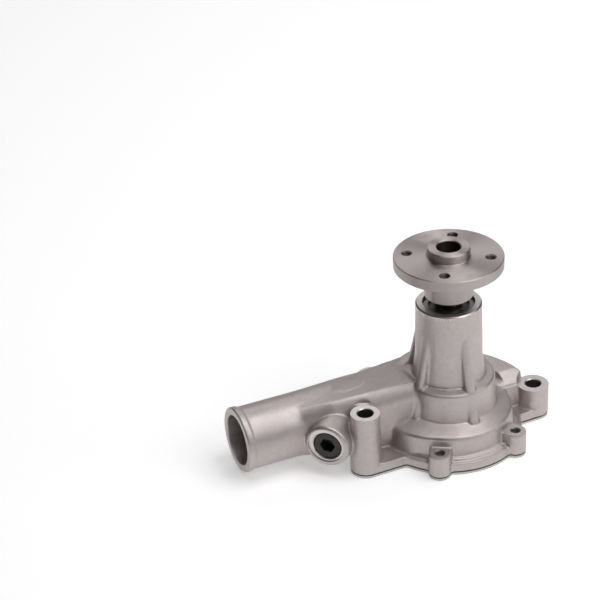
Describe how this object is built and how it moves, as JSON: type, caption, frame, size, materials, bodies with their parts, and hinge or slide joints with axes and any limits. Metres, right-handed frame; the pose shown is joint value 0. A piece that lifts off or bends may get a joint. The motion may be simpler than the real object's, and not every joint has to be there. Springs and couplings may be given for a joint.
{
  "type": "water pump",
  "caption": "Cast engine water pump with a belt-pulley hub on a bearing snout, a hose tube at one side, round bolt bosses, a plugged side port and a flat steel backing plate.",
  "frame": {"origin": "on the shaft axis, at the underside of the backing plate that meets the engine", "axes": "+Z along the shaft towards the pulley hub, -X towards the open end of the hose tube"},
  "size_m": [0.1878, 0.1007, 0.1245],
  "materials": {
    "cast_aluminium": "satin, as cast",
    "plate_steel": "zinc plated sheet",
    "gasket_fibre": "matt",
    "turned_steel": "turned",
    "bearing_steel": "ground",
    "ball_steel": "polished",
    "screw_steel": "zinc plated",
    "plug_steel": "oiled black",
    "cast_iron": "as cast",
    "brass": "pressed sheet",
    "black_rubber": "matt",
    "spring_steel": "drawn wire",
    "carbon": "fine ground",
    "ceramic": "lapped",
    "cage_nylon": "moulded"
  },
  "bodies": {
    "housing": {"housing": "cast_aluminium", "backing_plate": "plate_steel", "plate_gasket": "gasket_fibre", "port_plug": "plug_steel", "plate_screw_1": "screw_steel", "plate_screw_2": "screw_steel", "plate_screw_3": "screw_steel", "plate_screw_4": "screw_steel", "bearing_outer_ring": "bearing_steel", "bearing_lip_rear": "black_rubber", "bearing_lip_front": "black_rubber", "seal_cup": "brass", "seal_bellows": "black_rubber", "seal_spring": "spring_steel", "seal_retainer": "turned_steel", "seal_carbon_ring": "carbon"},
    "shaft": {"bearing_shaft": "bearing_steel", "pulley_hub": "turned_steel", "impeller": "cast_iron", "seal_mating_ring": "ceramic", "seal_seat_cup": "black_rubber", "water_slinger": "black_rubber"},
    "ball_cages": {"bearing_balls_rear": "ball_steel", "bearing_balls_front": "ball_steel", "bearing_cage_rear": "cage_nylon", "bearing_cage_front": "cage_nylon"}
  },
  "joints": [
    {"name": "shaft_spin", "type": "hinge", "parent": "housing", "child": "shaft", "pos_m": [0, 0, 0.0685], "axis": [0, 0, 1], "continuous": true},
    {"name": "cage_spin", "type": "hinge", "parent": "housing", "child": "ball_cages", "pos_m": [0, 0, 0.0685], "axis": [0, 0, 1], "continuous": true}
  ],
  "couplings": [
    {"joint": "cage_spin", "follows": "shaft_spin", "ratio": 0.3494}
  ]
}
